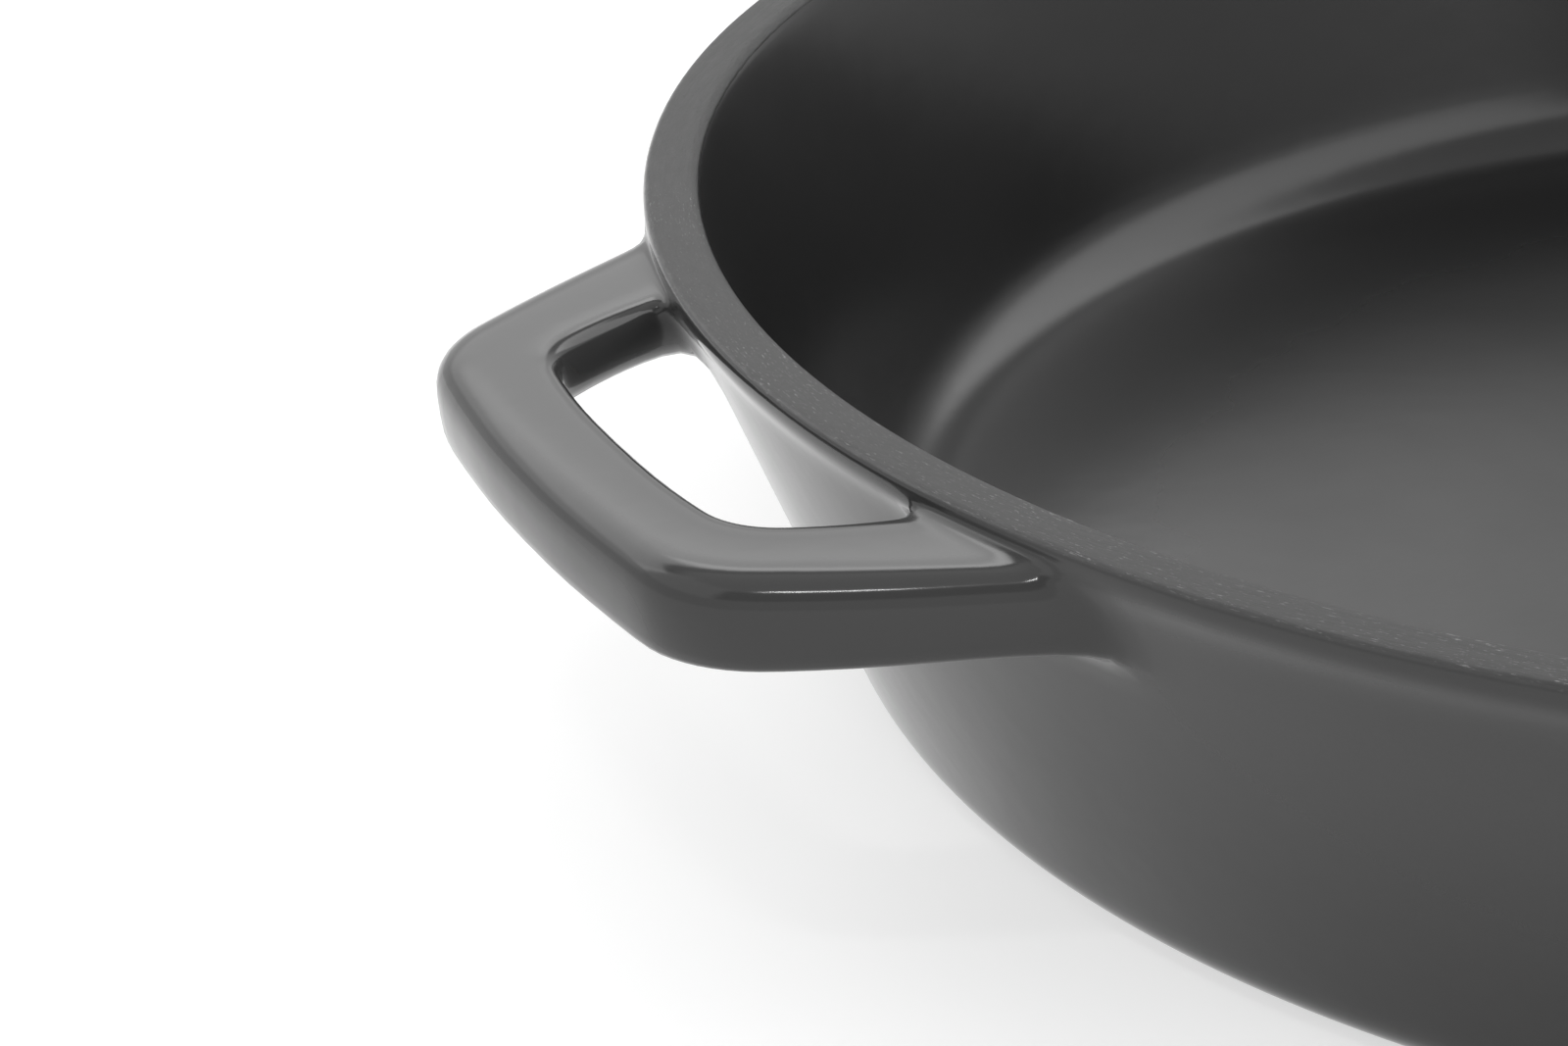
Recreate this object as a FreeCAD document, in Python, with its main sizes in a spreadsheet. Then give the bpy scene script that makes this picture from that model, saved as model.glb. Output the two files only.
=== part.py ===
"""A round cast iron casserole of the dutch oven family, 30 cm across the mouth, with its loose lid.

The pot is one casting: a low bowl with straight flared walls, a lipped rim and two flat loop
handles. The lid is a second casting with a locating ring and basting studs underneath, and it
carries a screwed-on knob. The lid lies beside the pot, turned over, standing on its knob.

Frame: millimetres, +Z up, origin on the pot's axis at the face it stands on, handles along X.
"""

import FreeCAD, Part

import math
import os

import Sketcher

from FreeCAD import Placement, Rotation, Vector

doc = FreeCAD.newDocument("Casserole")

# ---------------------------------------------------------------- driving dimensions

SIZES = [
    # the pot's bowl
    ("rim_radius", 155.2),
    ("rim_width", 6.0),
    ("pot_height", 56.0),
    ("base_thickness", 6.0),
    ("wall_flare", 0.384),
    ("lip_height", 2.2),
    ("lip_overhang", 1.85),
    ("lip_slope_height", 2.8),
    ("rim_outer_round", 0.9),
    ("rim_inner_round", 1.4),
    ("lip_round", 0.6),
    ("lip_hollow_round", 3.0),
    ("base_round", 7.8),
    ("floor_round", 12.0),
    # the loop handles
    ("handle_drop", 2.0),
    ("handle_thickness", 10.0),
    ("handle_reach", 181.9),
    ("handle_grip_width", 12.3),
    ("handle_root_radius", 152.6),
    ("handle_seat_radius", 149.6),
    ("handle_root_half_width", 50.0),
    ("handle_tip_half_width", 35.6),
    ("gap_root_half_width", 31.8),
    ("gap_tip_half_width", 24.2),
    ("handle_flare_half_width", 70.0),
    ("handle_flare_reach", 130.0),
    ("gap_flare_half_width", 16.0),
    ("gap_flare_reach", 147.2),
    ("handle_corner_round", 16.0),
    ("gap_corner_round", 9.0),
    ("root_round", 4.0),
    ("handle_top_round", 3.8),
    ("gap_top_round", 1.6),
    ("handle_bottom_round", 1.6),
    ("gap_bottom_round", 4.5),
    ("handle_draft", 5.0),
    # the lid casting, heights counted from the face that meets the rim
    ("flange_thickness", 5.0),
    ("flange_inner_radius", 146.5),
    ("shoulder_radius", 140.0),
    ("lid_height", 24.0),
    ("lid_thickness", 4.9),
    ("dome_radius", 720.0),
    ("boss_radius", 24.0),
    ("boss_height", 0.6),
    ("underside_flat_radius", 12.0),
    ("underside_edge_radius", 139.0),
    ("ring_depth", 5.0),
    ("ring_inner_radius", 142.0),
    ("ring_outer_radius", 146.0),
    ("ring_root_radius", 147.4),
    ("screw_hole_radius", 3.3),
    ("lid_edge_round", 1.6),
    ("shoulder_round", 5.0),
    ("flange_hollow_round", 2.5),
    ("underside_round", 3.0),
    ("ring_round", 0.8),
    # the basting studs, in three circles
    ("stud_radius", 3.0),
    ("stud_length", 2.4),
    ("stud_circle_1", 42.0),
    ("stud_circle_2", 80.0),
    ("stud_circle_3", 118.0),
    ("stud_count_1", 8),
    ("stud_count_2", 16),
    ("stud_count_3", 24),
    # the knob and what holds it
    ("gasket_radius", 12.5),
    ("gasket_thickness", 1.0),
    ("collar_radius", 14.0),
    ("collar_thickness", 3.0),
    ("knob_height", 26.0),
    ("knob_radius", 24.0),
    ("knob_rim_height", 9.0),
    ("knob_foot_radius", 13.0),
    ("knob_foot_height", 2.0),
    ("knob_waist_radius", 10.5),
    ("knob_waist_height", 9.0),
    ("knob_edge_round", 2.4),
    ("knob_waist_round", 6.0),
    ("insert_radius", 5.0),
    ("insert_length", 14.0),
    ("insert_clearance", 0.04),
    ("thread_radius", 3.0),
    ("thread_clearance", 0.05),
    ("screw_reach", 12.0),
    ("screw_head_radius", 6.0),
    ("screw_head_height", 3.8),
    ("screw_head_round", 1.8),
    ("driver_slot_length", 6.4),
    ("driver_slot_width", 1.3),
    ("driver_slot_depth", 2.2),
    ("washer_radius", 8.0),
    ("washer_thickness", 1.2),
    ("lock_washer_radius", 5.7),
    ("lock_washer_thickness", 1.6),
    ("lock_washer_slit", 1.0),
    ("washer_hole_radius", 3.2),
    # where the lid lies
    ("lid_aside", 350.0),
]

sheet = doc.addObject("Spreadsheet::Sheet", "Dims")
for row, (alias, number) in enumerate(SIZES, start=1):
    sheet.set(f"A{row}", alias)
    sheet.set(f"B{row}", str(number))
    sheet.setAlias(f"B{row}", alias)
doc.recompute()


class Size:
    """A number together with the spreadsheet formula that gives it."""

    def __init__(self, value, formula):
        self.value = float(value)
        self.formula = formula

    def _joined(self, other, sign, value):
        text = other.formula if isinstance(other, Size) else repr(float(other))
        return Size(value, f"({self.formula} {sign} {text})")

    def __add__(self, other):
        return self._joined(other, "+", self.value + number_of(other))

    def __sub__(self, other):
        return self._joined(other, "-", self.value - number_of(other))

    def __mul__(self, other):
        return self._joined(other, "*", self.value * number_of(other))

    def __truediv__(self, other):
        return self._joined(other, "/", self.value / number_of(other))

    def __neg__(self):
        return self * -1


def number_of(size):
    return size.value if isinstance(size, Size) else float(size)


def dim(alias):
    """The spreadsheet cell of that name, as a Size."""
    return Size(getattr(sheet, alias), f"Dims.{alias}")


ZERO = dim("rim_radius") * 0


def bind(thing, prop, size):
    """Sets a property from a size and keeps it bound to the spreadsheet."""
    thing.setExpression(prop, size.formula)


# ---------------------------------------------------------------- modelling helpers


def new_body(label):
    body = doc.addObject("PartDesign::Body", label)
    body.Label = label
    return body


def origin_part(body, role):
    return next(f for f in body.Origin.OriginFeatures if f.Role == role)


def new_sketch(body, name, plane, lift=None):
    """A sketch on one of the body's origin planes, moved along its normal by lift."""
    sketch = body.newObject("Sketcher::SketchObject", name)
    sketch.AttachmentSupport = [(origin_part(body, plane), "")]
    sketch.MapMode = "FlatFace"
    if lift is not None:
        bind(sketch, "AttachmentOffset.Base.z", lift)
    return sketch


def fix_point(sketch, edge, end, corner):
    """Holds one end of an edge at a corner, given as two sizes."""
    for kind, size in zip(("DistanceX", "DistanceY"), corner):
        index = sketch.addConstraint(Sketcher.Constraint(kind, edge, end, size.value))
        bind(sketch, f"Constraints[{index}]", size)


def draw_outline(sketch, corners, arcs=None):
    """A closed outline through the corners, each held by its two sizes.

    arcs maps the number of an edge to (radius, bulge side), where the side is +1 if the
    arc bulges to the left of the way from its first corner to its second, and -1 if right.
    """
    arcs = arcs or {}
    points = [Vector(x.value, y.value, 0) for x, y in corners]
    for i, start in enumerate(points):
        end = points[(i + 1) % len(points)]
        if i not in arcs:
            sketch.addGeometry(Part.LineSegment(start, end), False)
            fix_point(sketch, i, 1, corners[i])
            continue
        radius, side = arcs[i]
        half = (end - start).Length / 2
        rise = radius.value - math.sqrt(radius.value**2 - half**2)
        left = Vector(start.y - end.y, end.x - start.x, 0).normalize()
        arc = Part.Arc(start, (start + end) / 2 + left * rise * side, end)
        sketch.addGeometry(arc, False)
        # a sketch keeps its arcs anticlockwise, so the first corner may be the arc's end
        first = 1 if side < 0 else 2
        fix_point(sketch, i, first, corners[i])
        fix_point(sketch, i, 3 - first, corners[(i + 1) % len(points)])
        index = sketch.addConstraint(Sketcher.Constraint("Radius", i, radius.value))
        bind(sketch, f"Constraints[{index}]", radius)
    for i in range(len(points)):
        after = (i + 1) % len(points)
        if i not in arcs and after not in arcs:
            sketch.addConstraint(Sketcher.Constraint("Coincident", i, 2, after, 1))
        elif i not in arcs:
            fix_point(sketch, i, 2, corners[after])


def revolve(body, name, corners, arcs=None):
    """Turns an outline in the XZ plane, given as (radius, height) corners, about Z."""
    sketch = new_sketch(body, name + "Profile", "XZ_Plane")
    draw_outline(sketch, corners, arcs)
    turned = body.newObject("PartDesign::Revolution", name)
    turned.Profile = sketch
    turned.ReferenceAxis = (sketch, ["V_Axis"])
    turned.Angle = 360
    doc.recompute()
    return turned


def pad(body, name, sketch, length):
    block = body.newObject("PartDesign::Pad", name)
    block.Profile = sketch
    bind(block, "Length", length)
    doc.recompute()
    return block


def pocket_down(body, name, sketch, depth):
    """Cuts a sketch into the body along -Z, and stops if nothing was cut."""
    before = body.Shape.Volume
    cut = body.newObject("PartDesign::Pocket", name)
    cut.Profile = sketch
    bind(cut, "Length", depth)
    doc.recompute()
    if not body.Shape.Volume < before:
        raise RuntimeError(f"{name} cuts nothing")
    return cut


def ring_edge(radius, height):
    """Picks the circular edge about Z with that radius at that height."""

    def wanted(edge):
        curve = edge.Curve
        return (
            isinstance(curve, Part.Circle)
            and abs(curve.Radius - radius.value) < 0.01
            and abs(curve.Center.z - height.value) < 0.01
            and math.hypot(curve.Center.x, curve.Center.y) < 0.01
        )

    return wanted


def round_edges(body, name, radius, *tests):
    """Rounds every edge of the body's last feature that passes one of the tests."""
    base = body.Tip
    found = [
        f"Edge{i}"
        for i, edge in enumerate(base.Shape.Edges, start=1)
        if any(test(edge) for test in tests)
    ]
    if not found:
        raise RuntimeError(f"{name} finds no edges")
    rounding = body.newObject("PartDesign::Fillet", name)
    rounding.Base = (base, found)
    bind(rounding, "Radius", radius)
    doc.recompute()
    return rounding


# ---------------------------------------------------------------- pot_casting: the bowl

rim_radius = dim("rim_radius")
pot_height = dim("pot_height")
mouth_radius = rim_radius - dim("rim_width")
lip_foot = pot_height - dim("lip_height")
wall_top = lip_foot - dim("lip_slope_height")
wall_top_radius = rim_radius - dim("lip_overhang")
foot_radius = wall_top_radius - wall_top * dim("wall_flare")
floor_height = dim("base_thickness")
floor_radius = mouth_radius - (pot_height - floor_height) * dim("wall_flare")

bowl = new_body("bowl")
revolve(
    bowl,
    "Bowl",
    [
        (ZERO, ZERO),
        (foot_radius, ZERO),
        (wall_top_radius, wall_top),
        (rim_radius, lip_foot),
        (rim_radius, pot_height),
        (mouth_radius, pot_height),
        (floor_radius, floor_height),
        (ZERO, floor_height),
    ],
)
round_edges(bowl, "FloorRound", dim("floor_round"), ring_edge(floor_radius, floor_height))
round_edges(bowl, "BaseRound", dim("base_round"), ring_edge(foot_radius, ZERO))
round_edges(
    bowl, "LipHollow", dim("lip_hollow_round"), ring_edge(wall_top_radius, wall_top)
)
round_edges(bowl, "LipRound", dim("lip_round"), ring_edge(rim_radius, lip_foot))
round_edges(bowl, "RimOuter", dim("rim_outer_round"), ring_edge(rim_radius, pot_height))
round_edges(bowl, "RimInner", dim("rim_inner_round"), ring_edge(mouth_radius, pot_height))

# ---------------------------------------------------------------- pot_casting: the handles

handle_top = pot_height - dim("handle_drop")
handle_bottom = handle_top - dim("handle_thickness")
handle_tip = dim("handle_reach")
gap_tip = handle_tip - dim("handle_grip_width")
seat_radius = dim("handle_seat_radius")
root_radius = dim("handle_root_radius")


def on_circle(radius, half_width):
    """The corner at that distance from the X axis on a circle about Z."""
    reach = math.sqrt(radius.value**2 - half_width.value**2)
    return Size(reach, f"sqrt({radius.formula}^2 - {half_width.formula}^2)"), half_width


def with_mirror_image(corners):
    """The corners, and then their images across the X axis in the opposite order."""
    return corners + [(x, -y) for x, y in reversed(corners)]


outer_corners = [
    on_circle(handle_tip, dim("handle_tip_half_width")),
    on_circle(root_radius, dim("handle_root_half_width")),
    (dim("handle_flare_reach"), dim("handle_flare_half_width")),
]
gap_corners = [
    on_circle(gap_tip, dim("gap_tip_half_width")),
    on_circle(root_radius, dim("gap_root_half_width")),
    (dim("gap_flare_reach"), dim("gap_flare_half_width")),
]

handle = new_body("handle")
handle_plan = new_sketch(handle, "HandlePlan", "XY_Plane", lift=handle_top)
draw_outline(handle_plan, with_mirror_image(outer_corners), arcs={5: (handle_tip, -1)})
plate = pad(handle, "HandlePad", handle_plan, dim("handle_thickness"))
plate.Reversed = True
bind(plate, "TaperAngle", -dim("handle_draft"))
gap_plan = new_sketch(handle, "GapPlan", "XY_Plane", lift=handle_top)
draw_outline(gap_plan, with_mirror_image(gap_corners), arcs={5: (gap_tip, -1)})
gap = pocket_down(handle, "Gap", gap_plan, dim("handle_thickness"))
bind(gap, "TaperAngle", dim("handle_draft"))
doc.recompute()


def upright_edges(*corners):
    """Picks the upright edges that start at those corners or their mirror images."""

    def wanted(edge):
        spot = max((vertex.Point for vertex in edge.Vertexes), key=lambda point: point.z)
        return edge.BoundBox.ZLength > 1 and any(
            math.hypot(spot.x - x.value, abs(spot.y) - y.value) < 0.1 for x, y in corners
        )

    return wanted


def level_edges(height, round_the_gap):
    """Picks the edges at that height, either round the gap or round the outside."""

    def wanted(edge):
        box = edge.BoundBox
        level = abs(box.ZMin - height.value) < 0.01 and abs(box.ZMax - height.value) < 0.01
        around_gap = box.XMax < gap_tip.value + 1.5 and abs(box.Center.y) < 32.5
        return level and box.XMax > dim("handle_flare_reach").value + 2 and (
            around_gap == round_the_gap
        )

    return wanted


round_edges(handle, "TipRound", dim("handle_corner_round"), upright_edges(outer_corners[0]))
round_edges(handle, "GapRound", dim("gap_corner_round"), upright_edges(gap_corners[0]))
round_edges(
    handle, "RootRound", dim("root_round"), upright_edges(gap_corners[1], outer_corners[1])
)
round_edges(handle, "TopRound", dim("handle_top_round"), level_edges(handle_top, False))
round_edges(handle, "GapTopRound", dim("gap_top_round"), level_edges(handle_top, True))
round_edges(
    handle, "BottomRound", dim("handle_bottom_round"), level_edges(handle_bottom, False)
)
round_edges(
    handle, "GapBottomRound", dim("gap_bottom_round"), level_edges(handle_bottom, True)
)

# What is left inside the pot's wall is cut off on a circle that runs within the metal.
seat_plan = new_sketch(handle, "SeatPlan", "XY_Plane", lift=handle_top + 1)
seat_plan.addGeometry(Part.Circle(Vector(0, 0, 0), Vector(0, 0, 1), seat_radius.value), False)
fix_point(seat_plan, 0, 3, (ZERO, ZERO))
seat_plan.addConstraint(Sketcher.Constraint("Radius", 0, seat_radius.value))
bind(seat_plan, "Constraints[2]", seat_radius)
pocket_down(handle, "Seat", seat_plan, dim("handle_thickness") + 2)

second_handle = doc.addObject("Part::Mirroring", "second_handle")
second_handle.Source = handle
second_handle.Normal = (1, 0, 0)
second_handle.Base = (0, 0, 0)

pot_casting = doc.addObject("Part::MultiFuse", "pot_casting")
pot_casting.Shapes = [bowl, handle, second_handle]
pot_casting.Label = "pot_casting"
doc.recompute()

# ---------------------------------------------------------------- lid_casting

# Everything of the lid is drawn as it sits on the pot: Z counts up from the seating face.
lid_height = dim("lid_height")
dome_top = lid_height - dim("boss_height")
inner_dome_top = lid_height - dim("lid_thickness")
dome_radius = dim("dome_radius")
inner_dome_radius = dome_radius - dim("lid_thickness")


def dome_drop(radius, reach):
    """How far a dome of that radius falls from its middle to a distance from the axis."""
    drop = radius.value - math.sqrt(radius.value**2 - reach.value**2)
    return Size(drop, f"({radius.formula} - sqrt({radius.formula}^2 - {reach.formula}^2))")


shoulder = (dim("shoulder_radius"), dome_top - dome_drop(dome_radius, dim("shoulder_radius")))
boss_foot = (dim("boss_radius"), dome_top - dome_drop(dome_radius, dim("boss_radius")))
underside_edge = (
    dim("underside_edge_radius"),
    inner_dome_top - dome_drop(inner_dome_radius, dim("underside_edge_radius")),
)
underside_flat = (
    dim("underside_flat_radius"),
    inner_dome_top - dome_drop(inner_dome_radius, dim("underside_flat_radius")),
)

lid_casting = new_body("lid_casting")
revolve(
    lid_casting,
    "LidShell",
    [
        (dim("screw_hole_radius"), underside_flat[1]),
        underside_flat,
        underside_edge,
        (dim("ring_inner_radius"), -dim("ring_depth")),
        (dim("ring_outer_radius"), -dim("ring_depth")),
        (dim("ring_root_radius"), ZERO),
        (rim_radius, ZERO),
        (rim_radius, dim("flange_thickness")),
        (dim("flange_inner_radius"), dim("flange_thickness")),
        shoulder,
        boss_foot,
        (dim("boss_radius"), lid_height),
        (dim("screw_hole_radius"), lid_height),
    ],
    arcs={1: (inner_dome_radius, 1), 9: (dome_radius, -1)},
)
round_edges(
    lid_casting,
    "LidEdgeRound",
    dim("lid_edge_round"),
    ring_edge(rim_radius, ZERO),
    ring_edge(rim_radius, dim("flange_thickness")),
)
round_edges(lid_casting, "ShoulderRound", dim("shoulder_round"), ring_edge(*shoulder))
round_edges(
    lid_casting,
    "FlangeHollow",
    dim("flange_hollow_round"),
    ring_edge(dim("flange_inner_radius"), dim("flange_thickness")),
)
round_edges(lid_casting, "UndersideHollow", dim("underside_round"), ring_edge(*underside_edge))
round_edges(
    lid_casting,
    "RingRound",
    dim("ring_round"),
    ring_edge(dim("ring_inner_radius"), -dim("ring_depth")),
    ring_edge(dim("ring_outer_radius"), -dim("ring_depth")),
)

for circle in (1, 2, 3):
    stud_circle = dim(f"stud_circle_{circle}")
    surface = inner_dome_top - dome_drop(inner_dome_radius, stud_circle)
    stud_sketch = new_sketch(
        lid_casting, f"StudPlan{circle}", "XY_Plane", lift=surface - dim("stud_length")
    )
    stud_sketch.addGeometry(
        Part.Circle(Vector(stud_circle.value, 0, 0), Vector(0, 0, 1), sheet.stud_radius), False
    )
    fix_point(stud_sketch, 0, 3, (stud_circle, ZERO))
    stud_sketch.addConstraint(Sketcher.Constraint("Radius", 0, sheet.stud_radius))
    bind(stud_sketch, "Constraints[2]", dim("stud_radius"))
    stud = pad(lid_casting, f"Stud{circle}", stud_sketch, dim("stud_length") * 1.5)
    ring_of_studs = lid_casting.newObject("PartDesign::PolarPattern", f"StudCircle{circle}")
    ring_of_studs.Originals = [stud]
    ring_of_studs.Axis = (origin_part(lid_casting, "Z_Axis"), [""])
    ring_of_studs.Angle = 360
    bind(ring_of_studs, "Occurrences", dim(f"stud_count_{circle}"))
    lid_casting.Tip = ring_of_studs
    doc.recompute()

# ---------------------------------------------------------------- the knob and its fixings

gasket_top = lid_height + dim("gasket_thickness")
collar_top = gasket_top + dim("collar_thickness")
knob_top = collar_top + dim("knob_height")
insert_top = collar_top + dim("insert_length")
socket_radius = dim("insert_radius") + dim("insert_clearance")

knob_gasket = new_body("knob_gasket")
revolve(
    knob_gasket,
    "Gasket",
    [
        (dim("washer_hole_radius"), lid_height),
        (dim("gasket_radius"), lid_height),
        (dim("gasket_radius"), gasket_top),
        (dim("washer_hole_radius"), gasket_top),
    ],
)

knob_collar = new_body("knob_collar")
revolve(
    knob_collar,
    "Collar",
    [
        (dim("washer_hole_radius"), gasket_top),
        (dim("collar_radius"), gasket_top),
        (dim("collar_radius"), gasket_top + dim("collar_thickness") / 2),
        (dim("knob_foot_radius"), collar_top),
        (dim("washer_hole_radius"), collar_top),
    ],
)

lid_knob = new_body("lid_knob")
revolve(
    lid_knob,
    "Knob",
    [
        (socket_radius, collar_top),
        (dim("knob_foot_radius"), collar_top),
        (dim("knob_foot_radius"), collar_top + dim("knob_foot_height")),
        (dim("knob_waist_radius"), collar_top + dim("knob_waist_height")),
        (dim("knob_radius"), knob_top - dim("knob_rim_height")),
        (dim("knob_radius"), knob_top),
        (ZERO, knob_top),
        (ZERO, insert_top),
        (socket_radius, insert_top),
    ],
)
round_edges(
    lid_knob,
    "KnobEdgeRound",
    dim("knob_edge_round"),
    ring_edge(dim("knob_radius"), knob_top),
    ring_edge(dim("knob_radius"), knob_top - dim("knob_rim_height")),
)
round_edges(
    lid_knob,
    "KnobWaistRound",
    dim("knob_waist_round"),
    ring_edge(dim("knob_waist_radius"), collar_top + dim("knob_waist_height")),
)

knob_insert = new_body("knob_insert")
revolve(
    knob_insert,
    "Insert",
    [
        (dim("thread_radius") + dim("thread_clearance"), collar_top),
        (dim("insert_radius"), collar_top),
        (dim("insert_radius"), insert_top - dim("insert_clearance")),
        (dim("thread_radius") + dim("thread_clearance"), insert_top - dim("insert_clearance")),
    ],
)

# The screw comes up from the underside, through two washers.
screw_face = inner_dome_top - dome_drop(inner_dome_radius, dim("underside_flat_radius"))
lock_washer_top = screw_face - dim("washer_thickness")
head_top = lock_washer_top - dim("lock_washer_thickness")
head_bottom = head_top - dim("screw_head_height")

screw_washer = new_body("screw_washer")
revolve(
    screw_washer,
    "Washer",
    [
        (dim("washer_hole_radius"), lock_washer_top),
        (dim("washer_radius"), lock_washer_top),
        (dim("washer_radius"), screw_face),
        (dim("washer_hole_radius"), screw_face),
    ],
)

lock_washer = new_body("lock_washer")
revolve(
    lock_washer,
    "LockWasher",
    [
        (dim("washer_hole_radius"), head_top),
        (dim("lock_washer_radius"), head_top),
        (dim("lock_washer_radius"), lock_washer_top),
        (dim("washer_hole_radius"), lock_washer_top),
    ],
)


def rectangle(x_low, x_high, half_width):
    return [
        (x_low, -half_width),
        (x_high, -half_width),
        (x_high, half_width),
        (x_low, half_width),
    ]


slit = new_sketch(lock_washer, "SlitPlan", "XY_Plane", lift=lock_washer_top)
draw_outline(
    slit, rectangle(ZERO, dim("lock_washer_radius") * 1.2, dim("lock_washer_slit") / 2)
)
pocket_down(lock_washer, "Slit", slit, dim("lock_washer_thickness"))

knob_screw = new_body("knob_screw")
revolve(
    knob_screw,
    "Screw",
    [
        (ZERO, head_bottom),
        (dim("screw_head_radius"), head_bottom),
        (dim("screw_head_radius"), head_top),
        (dim("thread_radius"), head_top),
        (dim("thread_radius"), collar_top + dim("screw_reach")),
        (ZERO, collar_top + dim("screw_reach")),
    ],
)
round_edges(
    knob_screw,
    "HeadRound",
    dim("screw_head_round"),
    ring_edge(dim("screw_head_radius"), head_bottom),
)
for turn, name in enumerate(("DriverSlot", "CrossSlot")):
    slot_plan = new_sketch(
        knob_screw, name + "Plan", "XY_Plane", lift=head_bottom + dim("driver_slot_depth")
    )
    long_half = dim("driver_slot_length") / 2
    short_half = dim("driver_slot_width") / 2
    if turn:
        long_half, short_half = short_half, long_half
    draw_outline(slot_plan, rectangle(-long_half, long_half, short_half))
    pocket_down(knob_screw, name, slot_plan, dim("driver_slot_depth") * 2)

# ---------------------------------------------------------------- the lid laid beside the pot

lid_parts = [
    lid_casting,
    knob_gasket,
    knob_collar,
    lid_knob,
    knob_insert,
    knob_screw,
    screw_washer,
    lock_washer,
]
upside_down = Rotation(Vector(0, 1, 0), 180)
for piece in lid_parts:
    piece.Placement = Placement(Vector(sheet.lid_aside, 0, knob_top.value), upside_down)
    bind(piece, "Placement.Base.x", dim("lid_aside"))
    bind(piece, "Placement.Base.z", knob_top)
doc.recompute()

# ---------------------------------------------------------------- checks and output

for item in doc.Objects:
    if {"Invalid", "Error"} & set(item.State):
        raise RuntimeError(f"{item.Label} failed to compute: {item.State}")

os.makedirs("parts", exist_ok=True)
for piece in [pot_casting] + lid_parts:
    shape = piece.Shape
    if shape.isNull() or not shape.isValid() or len(shape.Solids) != 1:
        raise RuntimeError(f"{piece.Label} is not one valid solid")
    shape.exportStep(f"parts/{piece.Label}.step")
    box = shape.BoundBox
    print(
        f"{piece.Label:14s} volume {shape.Volume / 1000:8.2f} cm3"
        f"  x {box.XMin:8.2f} {box.XMax:8.2f}"
        f"  y {box.YMin:8.2f} {box.YMax:8.2f}"
        f"  z {box.ZMin:7.2f} {box.ZMax:7.2f}"
    )
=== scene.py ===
"""A low round casserole of enamelled cast iron, with its lid turned over and laid beside it.

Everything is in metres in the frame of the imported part: the pot stands on the floor at the
origin, with its two loop handles along X, and the lid lies past the handle at +X.
"""

import math

import bmesh
import bpy
from mathutils import Matrix, Vector


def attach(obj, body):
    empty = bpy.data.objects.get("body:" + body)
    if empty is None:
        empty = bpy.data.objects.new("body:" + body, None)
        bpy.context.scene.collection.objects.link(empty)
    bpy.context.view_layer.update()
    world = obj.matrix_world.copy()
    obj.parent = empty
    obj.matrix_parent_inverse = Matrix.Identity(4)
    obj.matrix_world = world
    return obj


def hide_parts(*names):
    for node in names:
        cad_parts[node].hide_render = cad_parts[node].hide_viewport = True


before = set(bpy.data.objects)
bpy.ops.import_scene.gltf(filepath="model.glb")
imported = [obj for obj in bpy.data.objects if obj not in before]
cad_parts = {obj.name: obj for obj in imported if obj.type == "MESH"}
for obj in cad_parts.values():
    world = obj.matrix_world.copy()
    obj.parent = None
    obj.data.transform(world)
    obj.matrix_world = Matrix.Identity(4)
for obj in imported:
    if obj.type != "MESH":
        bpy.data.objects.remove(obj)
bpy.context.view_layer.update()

# ------------------------------------------------------------------ the pot's casting
# The real pot is one iron casting: a flat base, straight flared walls, a 6 mm lip and two flat
# loop handles that grow out of the lip. It is enamelled dark grey outside and black inside,
# and the top of the lip has only a thin, rough ground coat that wears to light flecks.

MM = 0.001
WALL_FLARE = 0.384
POT_HEIGHT = 56.0
RIM_RADIUS = 155.2
HOLLOW_FOOT = 51.0
HOLLOW_TOP = 52.4
HOLLOW_RADIUS = 154.3
LIP_UNDERSIDE = 54.0
POT_STEPS = 150
FOOT_RADIUS = 133.77
FLOOR_RADIUS = 130.0
FLOOR_HEIGHT = 6.0
WALL_ANGLE = math.degrees(math.atan(WALL_FLARE))


def arc_points(centre, radius, first, last, steps):
    """Points on an arc in the (radius, height) plane, its ends included, angles in degrees."""
    points = []
    for step in range(steps + 1):
        angle = math.radians(first + (last - first) * step / steps)
        points.append(
            (centre[0] + radius * math.cos(angle), centre[1] + radius * math.sin(angle))
        )
    return points


def outer_wall(height):
    """A point of the wall's outer side in the (radius, height) plane."""
    return FOOT_RADIUS + WALL_FLARE * height, height


def inner_wall(height):
    """A point of the wall's inner side in the same plane."""
    return FLOOR_RADIUS + WALL_FLARE * (height - FLOOR_HEIGHT), height


def turned_piece(name, profile, steps, close_end=True):
    """Extrudes a circle ring by ring along a (radius, height) profile in millimetres."""
    bpy.ops.object.select_all(action="DESELECT")
    bpy.ops.mesh.primitive_circle_add(
        vertices=steps, radius=profile[0][0] * MM, fill_type="NGON" if close_end else "NOTHING"
    )
    piece = bpy.context.object
    piece.name = piece.data.name = name
    bpy.ops.object.mode_set(mode="EDIT")
    bpy.ops.mesh.select_all(action="SELECT")
    bpy.ops.transform.translate(value=(0, 0, profile[0][1] * MM))
    for (radius, height), (next_radius, next_height) in zip(profile, profile[1:]):
        bpy.ops.mesh.extrude_edges_move(
            TRANSFORM_OT_translate={"value": (0, 0, (next_height - height) * MM)}
        )
        growth = next_radius / radius
        bpy.ops.transform.resize(value=(growth, growth, 1), center_override=(0, 0, 0))
    if close_end:
        bpy.ops.mesh.edge_face_add()
    else:
        bpy.ops.mesh.select_all(action="SELECT")
        bpy.ops.mesh.remove_doubles(threshold=1e-6)
    bpy.ops.mesh.select_all(action="SELECT")
    bpy.ops.mesh.normals_make_consistent(inside=False)
    bpy.ops.object.mode_set(mode="OBJECT")
    return piece


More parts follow.
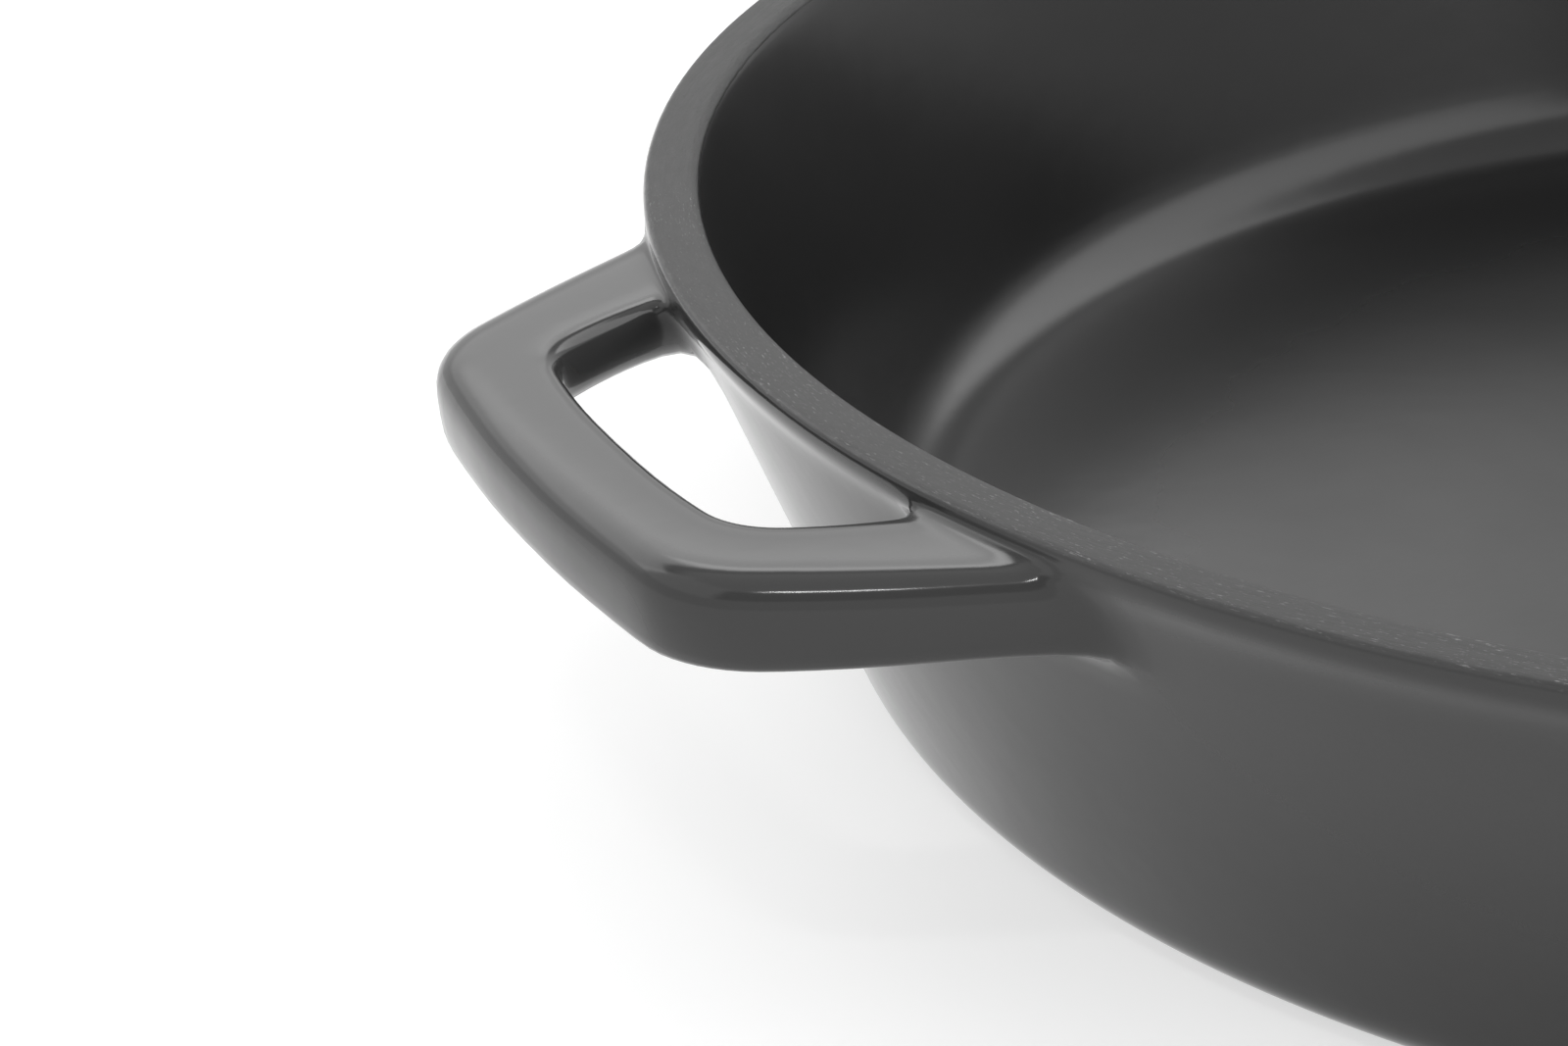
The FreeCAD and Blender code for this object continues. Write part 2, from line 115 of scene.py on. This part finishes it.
base_round = arc_points((128.45, 7.8), 7.8, -90, -WALL_ANGLE, 6)
lip_round = arc_points((154.3, 55.1), 0.9, 0, 90, 3)
mouth_round = arc_points((150.16, 54.6), 1.4, 90, 180 - WALL_ANGLE, 3)
floor_round = arc_points((121.77, 18.0), 12.0, -WALL_ANGLE, -90, 6)
LEG_LEVELS = [LIP_UNDERSIDE, HOLLOW_TOP, HOLLOW_FOOT, 47.2, 44.0]
pot_profile = (
    [(30, 0), (70, 0), (105, 0), (123, 0)]
    + base_round
    + [outer_wall(height) for height in (8, 15, 24, 33, 40, 44.0, 47.2, HOLLOW_FOOT)]
    + [(HOLLOW_RADIUS, HOLLOW_TOP), (RIM_RADIUS, LIP_UNDERSIDE)]
    + lip_round
    + [(152.2, POT_HEIGHT)]
    + mouth_round
    + [inner_wall(height) for height in (52, 45, 36, 27, 18)]
    + floor_round
    + [(116, 6), (100, 6), (65, 6), (30, 6)]
)
pot = turned_piece("enamelled_pot", pot_profile, POT_STEPS)

# The handle in plan, as pairs of a point on its outer edge and one on the finger gap's edge,
# from the wall towards the middle of the grip, which is an arc about the pot's axis. The
# other half is its mirror image.
GRIP_RADIUS = 181.9
GAP_RADIUS = 169.6


def on_grip(angle):
    """A station across the grip, square to it, at that angle from its middle."""
    turn = math.radians(angle)
    return tuple(
        (radius * math.cos(turn), radius * math.sin(turn)) for radius in (GRIP_RADIUS, GAP_RADIUS)
    )


tip_corner = arc_points((164.4, 24.2), 16.0, 64.3, 8.4, 5)
gap_corner = arc_points((159.57, 18.1), 9.0, 65.2, 6.5, 5)
LEG_STATIONS = (
    [((150.9, 48.95), (155.6, 29.5)), ((157.5, 45.9), (158.6, 28.5))]
    + [((164.5, 42.5), (161.2, 27.3))]
    + list(zip(tip_corner, gap_corner))
    + [on_grip(angle) for angle in (4.4, 2.2)]
)
LEG_UNDERSIDES = [45.1, 44.7, 44.3] + [44.0] * (len(LEG_STATIONS) - 3)
LEG_ANGLES = [10.8, 13.2, 15.6, 18.0, 20.4]
LEG_TOP = LEG_LEVELS[0]
TOP_ROUND_OUTER = 3.8
TOP_ROUND_GAP = 2.4
UNDER_ROUND_OUTER = 1.6
UNDER_ROUND_GAP = 5.5
ROOT_ROUND = 1.8
ROOT_LIFT = 0.3
GRIP_MIDDLE = 0.176
DRAFT = math.tan(math.radians(5.0))


def wall_radius(height):
    """The radius of the pot's outside, up to the foot of the lip's round."""
    if height < HOLLOW_FOOT:
        return outer_wall(height)[0]
    if height < HOLLOW_TOP:
        return outer_wall(HOLLOW_FOOT)[0] + (height - HOLLOW_FOOT) * 0.68
    return min(RIM_RADIUS, HOLLOW_RADIUS + (height - HOLLOW_TOP) * 0.5625)


def leg_patch():
    """The 5 by 5 points of the wall that a leg grows out of."""
    places = {}
    for row, height in enumerate(LEG_LEVELS):
        for column, angle in enumerate(LEG_ANGLES):
            turn, radius = math.radians(angle), wall_radius(height)
            places[row, column] = Vector((radius * math.cos(turn), radius * math.sin(turn), height))
    return places


def leg_section(station, bottom):
    """Where the same grid lies on a section through the leg, its edges rounded."""
    outer, gap = Vector(station[0]), Vector(station[1])
    across = (outer - gap).normalized()
    width = (outer - gap).length
    cos60, cos30 = 0.5, 0.866
    inset_share = {0: 1 - cos60, 1: 1 - cos30, 2: 0.0, 3: 0.0, 4: 0.3}
    places = {}
    for row in range(5):
        for column in range(5):
            on_gap_side = column < 2
            top_round = TOP_ROUND_GAP if on_gap_side else TOP_ROUND_OUTER
            under_round = UNDER_ROUND_GAP if on_gap_side else UNDER_ROUND_OUTER
            height = {
                0: LEG_TOP - top_round * (1 - cos30),
                1: LEG_TOP - top_round * cos60,
                2: LEG_TOP - top_round,
                3: bottom + under_round,
                4: bottom + under_round * 0.3,
            }[row]
            rounding = under_round if row == 4 else top_round
            inset = rounding * inset_share[row]
            if column in (1, 3):
                inset = rounding * (1.1 if row == 4 else 1.0)
                height = {0: LEG_TOP, 4: bottom}.get(row, height)
            inset += (LEG_TOP - height) * DRAFT
            reach = inset if on_gap_side else width - inset
            if column == 2:
                reach = width * 0.5
                height = {0: LEG_TOP, 4: bottom}.get(row, height)
            spot = gap + across * reach
            places[row, column] = Vector((spot.x, spot.y, height))
    return places


def leg_at_wall(reach):
    """The first section carried on, the way the leg points, until it is that near the wall."""
    first = leg_section(LEG_STATIONS[0], LEG_UNDERSIDES[0])
    second = leg_section(LEG_STATIONS[1], LEG_UNDERSIDES[0])
    carried = {}
    for key, place in first.items():
        heading = (place - second[key]).normalized()
        target = wall_radius(place.z) + reach
        along = place.x * heading.x + place.y * heading.y
        gone = -along - math.sqrt(along**2 - place.x**2 - place.y**2 + target**2)
        carried[key] = place + heading * gone
    return carried


def leg_root():
    """Where the leg's outline meets the wall, spread by the width of the fillet there."""
    spread = {}
    for (row, column), place in leg_at_wall(0.0).items():
        height = place.z + {0: ROOT_LIFT, 3: -0.3 * ROOT_ROUND, 4: -0.8 * ROOT_ROUND}.get(row, 0.0)
        radius = wall_radius(height)
        aside = {0: -1.4 * ROOT_ROUND, 1: -0.7 * ROOT_ROUND}.get(column, 0.0)
        turn = math.atan2(place.y, place.x) + aside / radius
        spread[row, column] = Vector((radius * math.cos(turn), radius * math.sin(turn), height))
    return spread


def nearest_place(places, spot, flips):
    """The key of the place that a vertex, mirrored back to the first leg, lies at."""
    mirrored = Vector((spot.x * flips[0], spot.y * flips[1], spot.z)) / MM
    return min(places, key=lambda key: (places[key] - mirrored).length)


def select_faces(piece, wanted):
    """In edit mode, selects just the faces whose centre passes the test."""
    bpy.ops.mesh.select_mode(type="FACE")
    bpy.ops.mesh.select_all(action="DESELECT")
    shape = bmesh.from_edit_mesh(piece.data)
    for face in shape.faces:
        face.select_set(wanted(face))
    bmesh.update_edit_mesh(piece.data)


def move_selected(piece, old_places, new_places, flips):
    """Moves each selected vertex from its old place in the leg's grid to its new one."""
    shape = bmesh.from_edit_mesh(piece.data)
    for vertex in [v for v in shape.verts if v.select]:
        key = nearest_place(old_places, vertex.co, flips)
        spot = new_places[key] * MM
        vertex.co = (spot.x * flips[0], spot.y * flips[1], spot.z)
    bmesh.update_edit_mesh(piece.data)


def on_leg_root(flips):
    """A test for the faces of the wall that one of the four legs grows out of."""
    def wanted(face):
        spot = face.calc_center_median() / MM
        angle = math.degrees(math.atan2(spot.y * flips[1], spot.x * flips[0]))
        outside = math.hypot(spot.x, spot.y) > outer_wall(spot.z)[0] - 1
        return (
            outside
            and LEG_ANGLES[0] < angle < LEG_ANGLES[-1]
            and LEG_LEVELS[-1] < spot.z < LEG_LEVELS[0]
        )

    return wanted


bpy.ops.object.mode_set(mode="EDIT")
for side in (1, -1):
    for half in (1, -1):
        flips = (side, half)
        select_faces(pot, on_leg_root(flips))
        places = leg_root()
        move_selected(pot, leg_patch(), places, flips)
        sections = [leg_at_wall(ROOT_ROUND)] + [
            leg_section(*station) for station in zip(LEG_STATIONS, LEG_UNDERSIDES)
        ]
        for section in sections:
            bpy.ops.mesh.extrude_region_move(TRANSFORM_OT_translate={"value": (0, 0, 0)})
            move_selected(pot, places, section, flips)
            places = section
    select_faces(
        pot,
        lambda face: abs(face.calc_center_median().y) < 0.0075
        and abs(face.normal.y) > 0.9
        and abs(face.calc_center_median().x - side * GRIP_MIDDLE) < 0.008,
    )
    bpy.ops.mesh.bridge_edge_loops()
bpy.ops.mesh.select_all(action="SELECT")
bpy.ops.mesh.normals_make_consistent(inside=False)
bpy.ops.object.mode_set(mode="OBJECT")


def finish_mesh(piece, subdivisions=0, sharp_angle=40.0):
    """Applies a subdivision and shades the piece smooth up to the given angle."""
    bpy.ops.object.select_all(action="DESELECT")
    bpy.context.view_layer.objects.active = piece
    piece.select_set(True)
    if subdivisions:
        rounding = piece.modifiers.new("rounding", "SUBSURF")
        rounding.levels = rounding.render_levels = subdivisions
        bpy.ops.object.modifier_apply(modifier=rounding.name)
    bpy.ops.object.shade_smooth_by_angle(angle=math.radians(sharp_angle))


finish_mesh(pot, 1, 60)


class Shade:
    """A socket in a material's nodes, on which Python's operators add Math nodes."""

    def __init__(self, tree, socket=None):
        self.tree = tree
        self.socket = socket

    def node(self, kind, inputs=(), output=0, **settings):
        """Adds a node, sets it up, feeds its inputs and gives one of its outputs."""
        made = self.tree.nodes.new("ShaderNode" + kind)
        for setting, value in settings.items():
            setattr(made, setting, value)
        for key, value in dict(inputs).items():
            if isinstance(value, Shade):
                self.tree.links.new(value.socket, made.inputs[key])
            else:
                made.inputs[key].default_value = value
        return Shade(self.tree, made.outputs[output])

    def math(self, operation, *values):
        return self.node("Math", dict(enumerate(values)), operation=operation)

    def __add__(self, other):
        return self.math("ADD", self, other)

    def __sub__(self, other):
        return self.math("SUBTRACT", self, other)

    def __mul__(self, other):
        return self.math("MULTIPLY", self, other)

    def __truediv__(self, other):
        return self.math("DIVIDE", self, other)

    def __radd__(self, other):
        return self.math("ADD", other, self)

    def __rsub__(self, other):
        return self.math("SUBTRACT", other, self)

    def __rmul__(self, other):
        return self.math("MULTIPLY", other, self)

    def rises(self, low, high):
        """0 below low, 1 above high, and a smooth step between them."""
        return self.node(
            "MapRange", {0: self, 1: low, 2: high}, interpolation_type="SMOOTHSTEP"
        )

    def noise(self, place, scale, detail=2.0, roughness=0.5):
        return self.node(
            "TexNoise",
            {"Vector": place, "Scale": scale, "Detail": detail, "Roughness": roughness},
        )

    def mix(self, factor, first, second):
        """A colour between two colours."""
        return self.node("Mix", {0: factor, 6: first, 7: second}, output=2, data_type="RGBA")


def grey(value):
    return (value, value, value, 1)


def new_material(name):
    """A material with only a Principled shader, and the handle to add nodes with."""
    material = bpy.data.materials.new(name)
    material.use_nodes = True
    tree = material.node_tree
    shader = next(node for node in tree.nodes if node.type == "BSDF_PRINCIPLED")
    return material, Shade(tree), shader


def place_in_mm(shade, centre=(0.0, 0.0, 0.0), turned_over=False):
    """The place on a piece in millimetres from its own axis, and its parts x, y, z."""
    spot = shade.node("TexCoord", output=3)
    scale = (-1000, 1000, -1000) if turned_over else (1000, 1000, 1000)
    spot = spot.node("VectorMath", {0: spot, 1: centre}, operation="SUBTRACT")
    spot = spot.node("VectorMath", {0: spot, 1: scale}, operation="MULTIPLY")
    parts = spot.tree.nodes.new("ShaderNodeSeparateXYZ")
    spot.tree.links.new(spot.socket, parts.inputs[0])
    return spot, [Shade(spot.tree, parts.outputs[index]) for index in range(3)]


def feed(shade, shader, sockets):
    """Links or sets the shader's inputs by name."""
    for name, value in sockets.items():
        if isinstance(value, Shade):
            shade.tree.links.new(value.socket, shader.inputs[name])
        else:
            shader.inputs[name].default_value = value


OUTSIDE_GREY = 0.033
INSIDE_GREY = 0.008
RIM_GREY = 0.038


def enamel(name, centre, turned_over, inside_mask, rim_mask, painted_shade_full_below, painted_shade_gone_above):
    """Grey gloss enamel outside with painted shade low down, black inside, and a rough worn coat on
    the seat.
    """
    material, shade, shader = new_material(name)
    spot, (x, y, z) = place_in_mm(shade, centre, turned_over)
    radius = shade.math("SQRT", x * x + y * y)
    angle = shade.math("ARCTAN2", y, x)
    inside = inside_mask(radius, z)
    wander = shade.noise(spot, 0.5, 3.0)
    rim = rim_mask(radius + (wander - 0.5) * 0.5, z + (wander - 0.5) * 0.25)

    cloud = shade.noise(spot, 0.02, 3.0)
    grain = shade.noise(spot, 2.4, 2.0, 0.7)
    fine = shade.noise(spot, 7.0, 1.0, 0.6)
    tone = 0.82 + cloud * 0.2 + grain * 0.12 + fine * 0.06
    # painted shade: darker towards the base, a baked-in contact shade that makes up for the pale
    # table that the gloss mirrors there
    tone = tone * (0.3 + 0.7 * z.rises(painted_shade_full_below, painted_shade_gone_above))
    inside_tone = 0.75 + cloud * 0.25 + grain * 0.3

    # streaks that run round the seat, and the light flecks of worn coat in them, which are
    # closest together beside the handle at -X
    around = shade.node("CombineXYZ", {0: angle * 26.0, 1: radius, 2: z})
    streak = shade.noise(around, 1.3, 4.0, 0.65)
    fleck = shade.noise(around, 4.5, 3.0, 0.7).rises(0.58, 0.72)
    beside_handle = (x * -0.85 + y * -0.53) / radius
    patch = shade.noise(spot, 0.045, 2.0).rises(0.42, 0.62) + beside_handle.rises(0.7, 0.96)
    worn = fleck * patch
    rim_tone = 0.15 + streak * 1.6

    outside_colour_with_painted_shade = shade.mix(tone, grey(0), grey(OUTSIDE_GREY))
    inside_colour = shade.mix(inside_tone, grey(0), grey(INSIDE_GREY))
    rim_colour = shade.mix(rim_tone * 0.6, grey(0), grey(RIM_GREY / 0.6))
    rim_colour = shade.mix(worn * 0.65, rim_colour, grey(0.3))
    colour = shade.mix(inside, outside_colour_with_painted_shade, inside_colour)
    colour = shade.mix(rim, colour, rim_colour)

    smear = shade.noise(spot, 0.06, 3.0)
    outside_rough = 0.08 + smear * 0.06 + grain * 0.02
    inside_rough = 0.2 + radius.rises(114.0, 82.0) * 0.08 + smear * 0.06
    rough = outside_rough + (inside_rough - outside_rough) * inside
    rim_rough = 0.38 + streak * 0.4
    rough = rough + (rim_rough - rough) * rim

    ripple = shade.noise(spot, 0.16, 2.0)
    height = ripple * 0.03 + grain * 0.0012 + fine * 0.0006
    height = height + inside * grain * 0.003
    height = height + rim * (streak * 0.12 + fleck * 0.05)
    relief = shade.node("Bump", {"Strength": 1.0, "Distance": MM, "Height": height})
    feed(
        shade,
        shader,
        {"Base Color": colour, "Roughness": rough, "Normal": relief, "IOR": 1.4},
    )
    return material


def pot_inside(radius, z):
    """1 inside the cone that runs half way through the wall, and above the base's middle."""
    return (130.7 + z * WALL_FLARE - radius).rises(-0.5, 0.5) * z.rises(2.0, 4.0)


def pot_rim(radius, z):
    """1 on the flat top of the lip, short of its outer round."""
    return z.rises(55.15, 55.55) * (155.8 - radius).rises(0.7, 1.5)


pot.data.materials.append(
    enamel("pot_enamel", (0, 0, 0), False, pot_inside, pot_rim, 6.0, 47.0)
)
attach(pot, "pot")
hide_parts("pot_casting")

# ------------------------------------------------------------------ the lid's casting
# The real lid is a second iron casting, a shallow dome with a shoulder, a flat flange that
# sits on the pot's rim and a locating ring inside it. Three circles of small studs stand on
# its underside, which faces up here because the lid lies on its knob.

LID_CENTRE = (0.350, 0, 0.054)
LID_STEPS = 144
LID_TOP = 24.0
DOME_RADIUS = 720.0
UNDERSIDE_TOP = 19.1
UNDERSIDE_RADIUS = 715.1
lay_beside = Matrix.Translation(LID_CENTRE) @ Matrix.Rotation(math.pi, 4, "Y")


def dome(radius):
    """The height of the lid's upper side, above the plane of its seat."""
    return 23.4 - DOME_RADIUS + math.sqrt(DOME_RADIUS**2 - radius**2)


def underside(radius):
    """The height of the lid's lower side, above the same plane."""
    return UNDERSIDE_TOP - UNDERSIDE_RADIUS + math.sqrt(UNDERSIDE_RADIUS**2 - radius**2)


def rounded_corners(corners, cut, steps=3):
    """Replaces each marked corner (radius, height, rounding) by a short curve."""
    points = []
    for index, (radius, height, rounding) in enumerate(corners):
        corner = Vector((radius, height))
        if not rounding:
            points.append((radius, height))
            continue
        before = Vector(corners[index - 1][:2])
        after = Vector(corners[(index + 1) % len(corners)][:2])
        start = corner + (before - corner).normalized() * rounding
        end = corner + (after - corner).normalized() * rounding
        for step in range(steps + 1):
            t = step / steps
            spot = start * (1 - t) ** 2 + corner * 2 * t * (1 - t) * cut + end * t**2
            spot = spot + corner * 2 * t * (1 - t) * (1 - cut)
            points.append((spot.x, spot.y))
    return points


lid_corners = (
    [(3.3, underside(12.0), 0.3), (12.0, underside(12.0), 0)]
    + [(radius, underside(radius), 0) for radius in (25, 50, 75, 100, 122)]
    + [
        (139.0, underside(139.0), 2.6),
        (142.0, -5.0, 0.9),
        (146.0, -5.0, 0.9),
        (147.4, 0.0, 0.5),
        (151.0, 0.0, 0),
        (155.2, 0.0, 1.5),
        (155.2, 5.0, 1.5),
        (151.0, 5.0, 0),
        (146.5, 5.0, 2.2),
        (140.0, dome(140.0), 3.4),
    ]
    + [(radius, dome(radius), 0) for radius in (122, 100, 75, 50, 33)]
    + [(24.0, dome(24.0), 0.4), (24.0, LID_TOP, 0.3), (14.0, LID_TOP, 0), (3.3, LID_TOP, 0.3)]
)
lid_profile = rounded_corners(lid_corners, 1.0)
lid = turned_piece("enamelled_lid", lid_profile + lid_profile[:1], LID_STEPS, close_end=False)

bpy.ops.object.select_all(action="DESELECT")
stud_profile = [(0.8, -2.4), (1.7, -2.2), (2.4, -1.5), (2.8, -0.5), (3.2, 0.6), (3.6, 1.5)]
stud = turned_piece("stud", stud_profile[::-1], 16)
studs = []
for circle, count in ((42.0, 8), (80.0, 16), (118.0, 24)):
    for number in range(count):
        turn = 2 * math.pi * number / count
        copy = stud.copy()
        copy.data = stud.data.copy()
        copy.data.transform(
            Matrix.Translation(
                Vector((circle * math.cos(turn), circle * math.sin(turn), underside(circle))) * MM
            )
        )
        bpy.context.collection.objects.link(copy)
        studs.append(copy)
bpy.data.objects.remove(stud)
bpy.ops.object.select_all(action="DESELECT")
for piece in studs + [lid]:
    piece.select_set(True)
bpy.context.view_layer.objects.active = lid
bpy.ops.object.join()
lid.data.transform(lay_beside)
finish_mesh(lid, 1, 60)


def lid_inside(radius, z):
    """1 below a surface half way through the casting, which is the lid's underside."""
    domed = 21.2 - radius * radius / 1435.0
    shoulder = 7.4 - (radius - 140.0) * 0.7
    return (domed.math("MINIMUM", domed, shoulder) - z).rises(-0.3, 0.3)


def lid_seat(radius, z):
    """1 on the flat of the flange that rests on the pot's rim."""
    return (0.6 - z).rises(0.0, 0.4) * (radius - 147.2).rises(0.0, 0.8) * (155.6 - radius).rises(
        0.6, 1.6
    )


lid.data.materials.append(
    enamel("lid_enamel", LID_CENTRE, True, lid_inside, lid_seat, -60.0, -50.0)
)
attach(lid, "lid")
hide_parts("lid_casting")

# ------------------------------------------------------------------ the knob
# The real knob is turned from stainless steel: a round foot, a narrow waist and a wide flat
# head, brushed round on a lathe. A screw from inside the lid holds it.

KNOB_FOOT = 28.0
KNOB_TOP = 54.0
knob_corners = [
    (1.5, KNOB_TOP, 0),
    (12.0, KNOB_TOP, 0),
    (20.5, KNOB_TOP, 0),
    (24.0, KNOB_TOP, 1.8),
    (24.0, 47.5, 0),
    (24.0, 45.0, 1.8),
    (17.5, 41.0, 2.0),
    (10.5, 37.0, 2.4),
    (13.0, 30.0, 1.2),
    (13.0, KNOB_FOOT, 0.35),
    (9.0, KNOB_FOOT, 0),
    (5.05, KNOB_FOOT, 0.25),
    (5.05, 35.0, 0),
    (5.05, 42.0, 0.3),
    (1.5, 42.0, 0),
]
knob = turned_piece("knob", rounded_corners(knob_corners, 1.0, 4), 96)
knob.data.transform(lay_beside)
finish_mesh(knob, 1, 50)


def turned_metal(name, tone, tint, rough, lines=1.0):
    """Metal with the fine concentric lines of turning or brushing, and faint smudges."""
    material, shade, shader = new_material(name)
    spot, (x, y, z) = place_in_mm(shade, LID_CENTRE, True)
    radius = shade.math("SQRT", x * x + y * y)
    angle = shade.math("ARCTAN2", y, x)
    around = shade.node("CombineXYZ", {0: angle * 0.6, 1: radius, 2: z})
    line = shade.noise(around, 9.0, 3.0, 0.7)
    smudge = shade.noise(spot, 0.12, 3.0)
    colour = shade.mix(
        line * 0.5 + smudge * 0.5, tuple(c * 0.72 * tone for c in tint) + (1,),
        tuple(c * 1.15 * tone for c in tint) + (1,),
    )
    relief = shade.node(
        "Bump", {"Strength": 1.0, "Distance": MM, "Height": line * (0.012 * lines)}
    )
    feed(
        shade,
        shader,
        {
            "Base Color": colour,
            "Metallic": 1.0,
            "Roughness": rough + smudge * 0.12 + line * 0.08,
            "Normal": relief,
        },
    )
    return material


knob.data.materials.append(turned_metal("brushed_knob", 0.6, (1, 0.985, 0.96), 0.2))
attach(knob, "lid")
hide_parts("lid_knob")

# ------------------------------------------------------------------ the knob's fixings
# A silicone gasket and a steel collar sit between knob and lid, a brass insert is pressed into
# the knob, and a cross-head screw with a flat and a spring washer holds it from inside.


def dress(node, material):
    """Gives a carried-over node its material in place of the plain one."""
    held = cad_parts[node]
    held.data.materials.clear()
    held.data.materials.append(material)


def silicone():
    material, shade, shader = new_material("silicone")
    spot, axes = place_in_mm(shade, LID_CENTRE, True)
    dust = shade.noise(spot, 0.9, 4.0, 0.7)
    relief = shade.node("Bump", {"Strength": 1.0, "Distance": MM, "Height": dust * 0.02})
    feed(
        shade,
        shader,
        {
            "Base Color": shade.mix(dust, grey(0.012), grey(0.035)),
            "Roughness": 0.5 + dust * 0.25,
            "Normal": relief,
        },
    )
    return material


STEEL = (1.0, 0.99, 0.975)
dress("knob_gasket", silicone())
dress("knob_collar", turned_metal("collar_steel", 0.58, STEEL, 0.22))
dress("knob_insert", turned_metal("insert_brass", 0.75, (1, 0.76, 0.4), 0.25))
dress("knob_screw", turned_metal("screw_steel", 0.5, STEEL, 0.26, lines=0.5))
dress("screw_washer", turned_metal("washer_steel", 0.55, STEEL, 0.28))
dress("lock_washer", turned_metal("spring_steel", 0.3, (1, 0.96, 0.9), 0.34))

# ------------------------------------------------------------------ floor, light and camera
# A plain white studio table that runs out of sight, soft light from a bright surround with
# three wide softboxes and one narrow lamp, and a long lens close to the left handle.

bpy.ops.object.select_all(action="DESELECT")
bpy.ops.mesh.primitive_plane_add(size=14)
table = bpy.context.object
table.name = "studio_table"
paper, paper_shade, paper_shader = new_material("white_paper")
paper_spot, paper_axes = place_in_mm(paper_shade)
fibre = paper_shade.noise(paper_spot, 0.8, 3.0)
feed(
    paper_shade,
    paper_shader,
    {
        "Base Color": paper_shade.mix(fibre, grey(0.42), grey(0.46)),
        "Roughness": 0.75 + fibre * 0.1,
        "Emission Color": grey(1),
        "Emission Strength": 0.6,
    },
)
table.data.materials.append(paper)

surround = bpy.data.worlds.new("studio_surround")
bpy.context.scene.world = surround
surround.use_nodes = True
sky = Shade(surround.node_tree)
background = next(n for n in surround.node_tree.nodes if n.type == "BACKGROUND")
direction = sky.node("TexCoord", output=0)
sky_parts = surround.node_tree.nodes.new("ShaderNodeSeparateXYZ")
surround.node_tree.links.new(direction.socket, sky_parts.inputs[0])
rise = Shade(surround.node_tree, sky_parts.outputs[2])
east = Shade(surround.node_tree, sky_parts.outputs[0])
north = Shade(surround.node_tree, sky_parts.outputs[1])
level_length = sky.math("SQRT", east * east + north * north + 0.0001)


def softbox(azimuth, half_width, low, high):
    """1 inside a stretch of the surround, given in degrees, and 0 outside it."""
    turn = math.radians(azimuth)
    facing = (east * math.cos(turn) + north * math.sin(turn)) / level_length
    beside = facing.rises(
        math.cos(math.radians(half_width + 5)), math.cos(math.radians(half_width - 5))
    )
    above = rise.rises(math.sin(math.radians(low - 2)), math.sin(math.radians(low + 2)))
    below = rise.rises(math.sin(math.radians(high - 2)), math.sin(math.radians(high + 2)))
    return beside * above * (1 - below)


# bright near the horizon, dimmer from 25 to 55 degrees up, and bright overhead
surround_glow = 1.0 - 0.6 * rise.rises(0.38, 0.5) + 0.65 * rise.rises(0.78, 0.86)
behind = softbox(95, 40, 16, 47)
bright_edge = softbox(67, 14, 38, 47)
beside_lens = softbox(-20, 54, 23, 52)
beside_pot = softbox(165, 36, 24, 60)
behind_glow = 1.6 + 0.9 * rise.rises(0.38, 0.46)
glow = surround_glow + (behind_glow - surround_glow) * behind + bright_edge * 1.9
glow = glow + (3.2 - surround_glow) * beside_lens + (1.4 - surround_glow) * beside_pot
sky_colour = sky.node("CombineXYZ", {0: glow, 1: glow, 2: glow})
surround.node_tree.links.new(sky_colour.socket, background.inputs["Color"])
background.inputs["Strength"].default_value = 1.0


def soft_lamp(name, place, target, width, depth, watts):
    """A lamp of the given size in metres that faces the target."""
    lamp = bpy.data.lights.new(name, "AREA")
    lamp.shape = "RECTANGLE"
    lamp.size = width
    lamp.size_y = depth
    lamp.energy = watts
    holder = bpy.data.objects.new(name, lamp)
    holder.location = place
    aim = Vector(target) - Vector(place)
    holder.rotation_euler = aim.to_track_quat("-Z", "Y").to_euler()
    bpy.context.collection.objects.link(holder)


soft_lamp("glint_lamp", (-0.9, -0.93, 1.85), (-0.16, -0.03, 0.05), 0.3, 0.05, 3.5)

lens = bpy.data.cameras.new("close_view")
lens.lens = 100.0
lens.sensor_width = 36.0
lens.clip_start = 0.01
camera = bpy.data.objects.new("close_view", lens)
bpy.context.collection.objects.link(camera)
right = Vector((0.9129, -0.4038, -0.0586)).normalized()
ahead = Vector((0.3446, 0.8400, -0.4190)).normalized()
upward = right.cross(ahead).normalized()
right = ahead.cross(upward).normalized()
camera.matrix_world = Matrix.Translation((-0.3041, -0.3676, 0.2239)) @ Matrix(
    (right, upward, -ahead)
).transposed().to_4x4()
bpy.context.scene.camera = camera
bpy.context.scene.view_settings.view_transform = "Standard"
